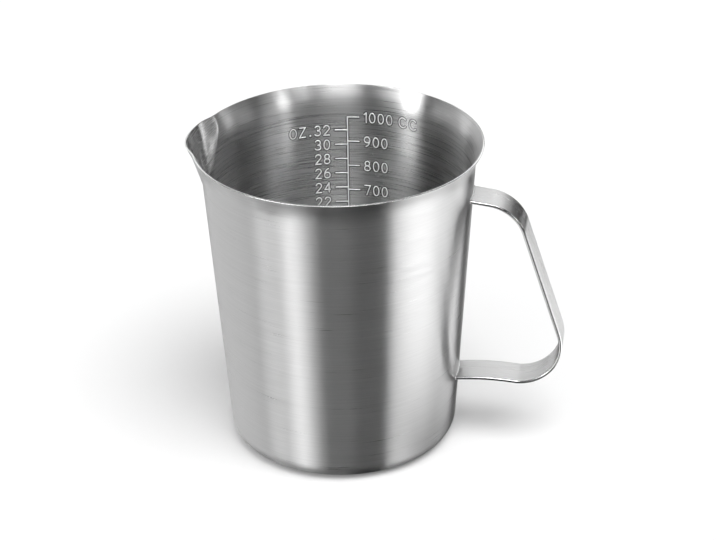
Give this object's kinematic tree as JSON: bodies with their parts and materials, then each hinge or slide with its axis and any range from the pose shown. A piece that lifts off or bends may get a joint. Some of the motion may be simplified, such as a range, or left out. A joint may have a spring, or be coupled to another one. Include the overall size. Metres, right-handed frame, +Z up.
{
  "type": "measuring jug",
  "caption": "Open brushed-steel measuring jug with a tapered drawn body, flared rim, pressed pouring spout and a welded strap handle.",
  "frame": {"origin": "centre of the flat base, on the jug's axis", "axes": "+Z up along the jug's axis, +X towards the handle, -X towards the spout"},
  "size_m": [0.1575, 0.1196, 0.134],
  "materials": {
    "body_steel": "brushed round the axis, bright cut edge at the rim",
    "handle_steel": "satin, finely brushed along the strap, edges polished round",
    "weld_steel": "fine polished bead"
  },
  "bodies": {
    "root": {"jug_body": "body_steel", "handle": "handle_steel", "upper_weld": "weld_steel", "lower_weld": "weld_steel"}
  },
  "joints": []
}
